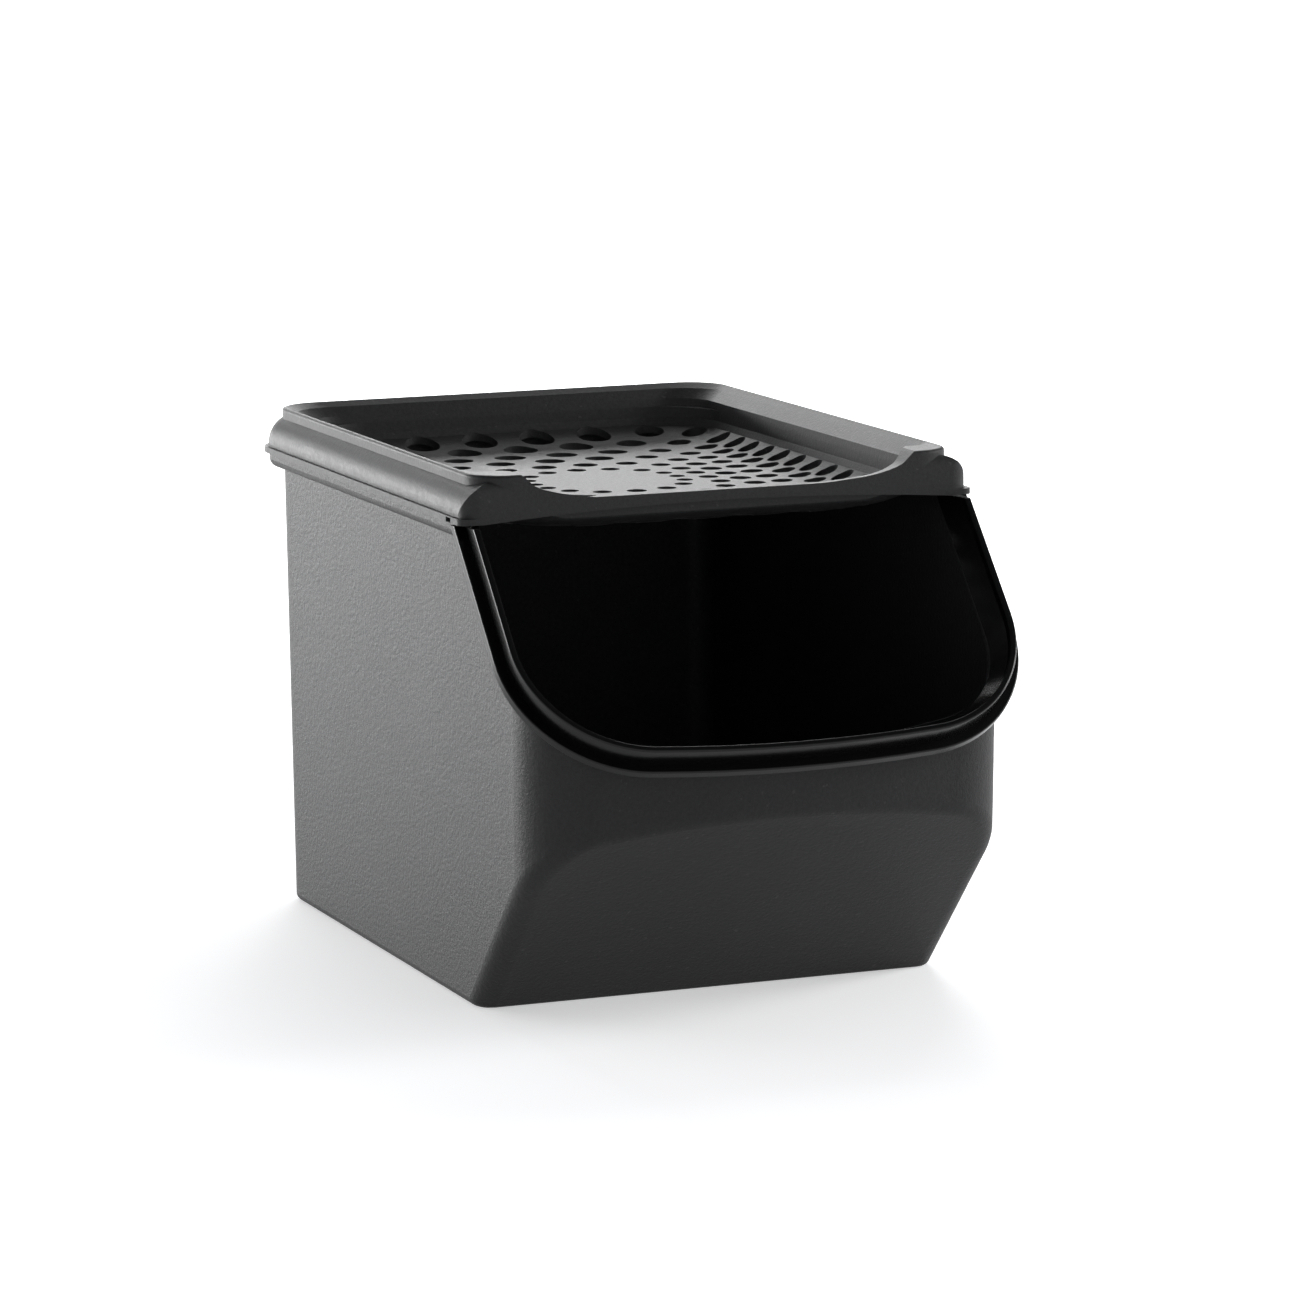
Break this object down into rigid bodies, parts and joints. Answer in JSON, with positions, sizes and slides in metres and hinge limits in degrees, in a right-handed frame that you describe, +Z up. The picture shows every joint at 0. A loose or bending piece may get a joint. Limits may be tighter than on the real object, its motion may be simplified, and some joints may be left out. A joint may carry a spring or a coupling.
{
  "type": "onion keeper",
  "caption": "Open-fronted kitchen bin for onions with a sloping front, a rimmed mouth, a loose floor grid and a perforated lift-off lid.",
  "frame": {"origin": "the middle of the underside of the closed keeper's bounding box, on the table", "axes": "+Z up, -Y out of the open front, so +X is on the right hand of someone who faces the mouth. Y is the keeper's longest side and Z its shortest."},
  "size_m": [0.1612, 0.2522, 0.1578],
  "materials": {
    "bin_plastic": "fine matte texture, with a glossy rim round the mouth",
    "grid_plastic": "fine matte texture",
    "lid_plastic": "fine satin texture"
  },
  "bodies": {
    "bin_body": {"bin": "bin_plastic"},
    "grid_body": {"floor_grid": "grid_plastic"},
    "lid_body": {"lid": "lid_plastic"}
  },
  "joints": [
    {"name": "lid_lift", "type": "slide", "parent": "bin_body", "child": "lid_body", "axis": [0, 0, 1], "range_m": [0, 0.06]},
    {"name": "grid_lift", "type": "slide", "parent": "bin_body", "child": "grid_body", "axis": [0, 0, 1], "range_m": [0, 0.12]}
  ]
}
